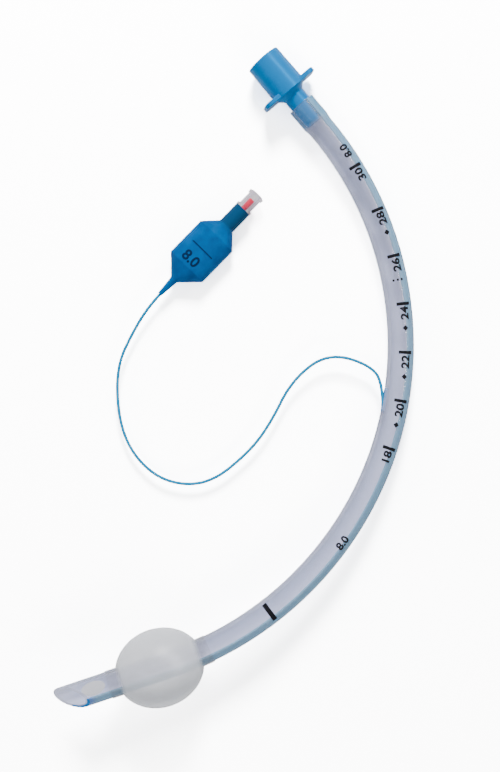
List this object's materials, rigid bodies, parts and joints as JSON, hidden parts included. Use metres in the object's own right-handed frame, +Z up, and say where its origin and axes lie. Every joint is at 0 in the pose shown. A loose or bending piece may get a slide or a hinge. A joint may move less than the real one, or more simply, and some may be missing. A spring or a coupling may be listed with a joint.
{
  "type": "endotracheal tube",
  "caption": "Curved clear tube with an inflated cuff near its bevelled tip, a blue connector at the other end, and a thin line to a pilot balloon with a spring valve.",
  "frame": {"origin": "middle of the bounding box of everything but the free line, at the table that the tube lies on", "axes": "+Z up from the table, +X along the longest extent, toward the connector's side, +Y along the connector, out of its mouth"},
  "size_m": [0.2494, 0.18, 0.0321],
  "materials": {
    "clear_pvc": "milky clear PVC",
    "stripe_pvc": "co-extruded blue PVC",
    "cuff_film": "thin frosted film",
    "connector_blue": "moulded blue plastic",
    "line_pvc": "blue tinted PVC",
    "bond": "cured blue adhesive",
    "balloon_pvc": "blown blue PVC",
    "valve_clear": "clear moulded plastic",
    "plunger_red": "moulded red plastic",
    "seal_rubber": "moulded rubber",
    "spring_steel": "spring steel wire",
    "valve_white": "moulded plastic"
  },
  "bodies": {
    "tube": {"tube_shaft": "clear_pvc", "blue_line": "stripe_pvc", "lumen_plug": "clear_pvc", "cuff": "cuff_film", "connector": "connector_blue", "inflation_line": "line_pvc", "line_bond": "bond", "pilot_balloon": "balloon_pvc", "valve_housing": "valve_clear", "valve_spring": "spring_steel", "valve_retainer": "valve_white"},
    "plunger": {"valve_plunger": "plunger_red", "valve_seal": "seal_rubber"}
  },
  "joints": [
    {"name": "plunger_press", "type": "slide", "parent": "tube", "child": "plunger", "axis": [-0.9968, -0.0802, 0], "range_m": [0, 0.0012], "stiffness_N_per_m": 900, "springref_m": -0.001, "deforming": ["valve_spring"]}
  ]
}
